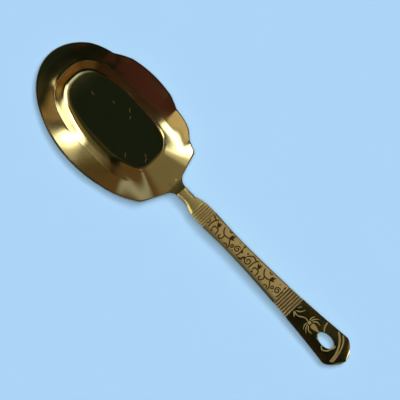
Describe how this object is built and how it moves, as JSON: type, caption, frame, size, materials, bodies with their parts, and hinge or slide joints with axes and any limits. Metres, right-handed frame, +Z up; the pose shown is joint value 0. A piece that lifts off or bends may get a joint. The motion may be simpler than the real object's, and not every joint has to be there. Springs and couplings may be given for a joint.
{
  "type": "serving spoon",
  "caption": "Serving spoon with a shallow oval flat-floored bowl, a flared rim with pointed shoulders, a slim handle with ribbed bands and an oval hanging hole.",
  "frame": {"origin": "on the table, under the middle of the spoon's box", "axes": "+X from the bowl's tip to the handle's end, +Z up out of the bowl, +Y to the bowl's dented edge"},
  "size_m": [0.2356, 0.0664, 0.0125],
  "materials": {
    "polished_gold": "polished to a mirror with fine lengthwise brush lines",
    "satin_gold": "satin panel with a polished vine ornament, polished end",
    "braze_filler": "as brazed"
  },
  "bodies": {
    "root": {"bowl": "polished_gold", "handle": "satin_gold", "braze_seam": "braze_filler"}
  },
  "joints": []
}
